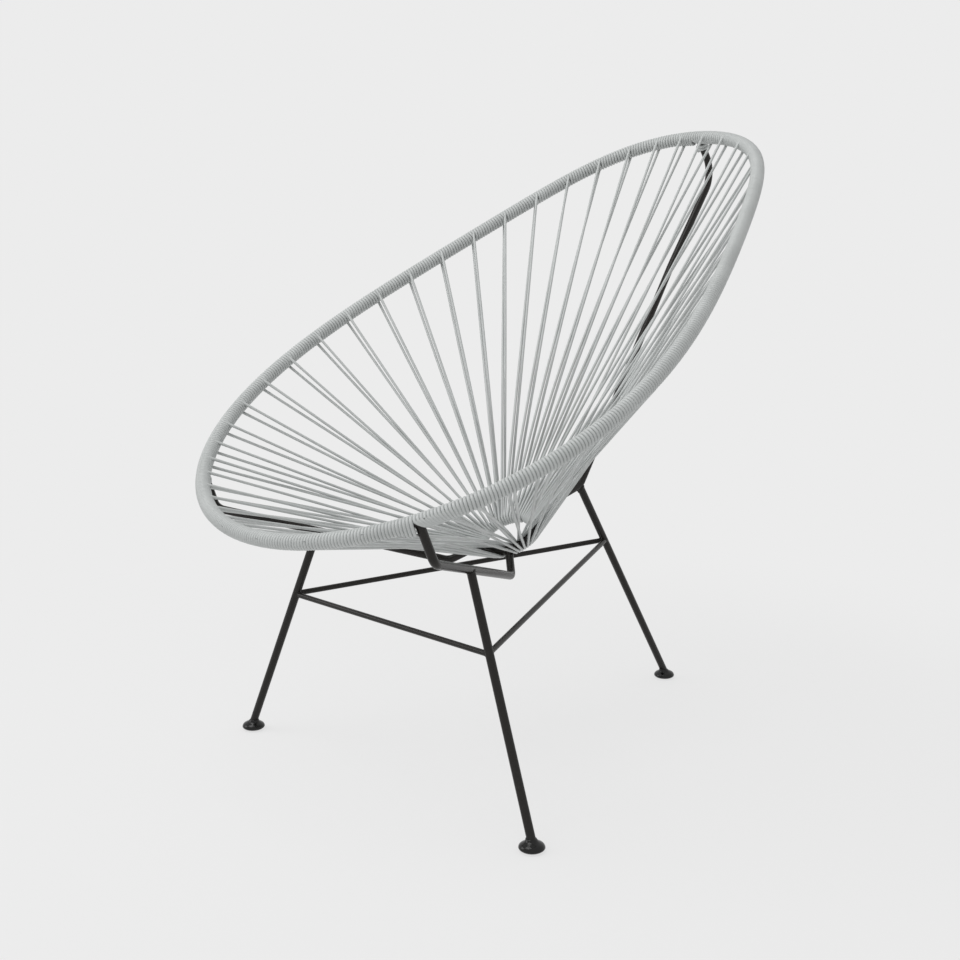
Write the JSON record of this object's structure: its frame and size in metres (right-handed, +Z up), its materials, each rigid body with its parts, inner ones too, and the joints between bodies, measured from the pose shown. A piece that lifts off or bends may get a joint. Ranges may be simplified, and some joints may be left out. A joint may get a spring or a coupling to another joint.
{
  "type": "acapulco chair",
  "caption": "Round patio lounge chair: a sloping steel hoop wound and strung with grey PVC cord to a small centre ring, on three round-bar legs with plastic glides.",
  "frame": {"origin": "on the floor, under the centre of the chair's bounding box", "axes": "+Z up, the sitter faces -Y, the sitter's left is +X"},
  "size_m": [0.7248, 0.966, 0.9344],
  "materials": {
    "black_steel": "satin black powder coat on 12 mm and 8 mm round bar",
    "grey_cord": "light grey PVC cord, satin to slightly glossy",
    "black_glide": "moulded black plastic"
  },
  "bodies": {
    "root": {"rim_hoop": "black_steel", "inner_ring": "black_steel", "arm_left": "black_steel", "arm_right": "black_steel", "arm_back": "black_steel", "leg_front_left": "black_steel", "leg_front_right": "black_steel", "leg_back": "black_steel", "stretcher_front": "black_steel", "stretcher_left": "black_steel", "stretcher_right": "black_steel", "glide_front_left": "black_glide", "glide_front_right": "black_glide", "glide_back": "black_glide", "seat_cord_01": "grey_cord", "seat_cord_02": "grey_cord", "seat_cord_03": "grey_cord", "seat_cord_04": "grey_cord", "seat_cord_05": "grey_cord", "seat_cord_06": "grey_cord", "seat_cord_07": "grey_cord", "seat_cord_08": "grey_cord", "seat_cord_09": "grey_cord", "seat_cord_10": "grey_cord", "seat_cord_11": "grey_cord", "seat_cord_12": "grey_cord", "seat_cord_13": "grey_cord", "seat_cord_14": "grey_cord", "seat_cord_15": "grey_cord", "seat_cord_16": "grey_cord", "seat_cord_17": "grey_cord", "seat_cord_18": "grey_cord", "seat_cord_19": "grey_cord", "seat_cord_20": "grey_cord", "seat_cord_21": "grey_cord", "seat_cord_22": "grey_cord", "seat_cord_23": "grey_cord", "seat_cord_24": "grey_cord", "seat_cord_25": "grey_cord", "seat_cord_26": "grey_cord"}
  },
  "joints": []
}
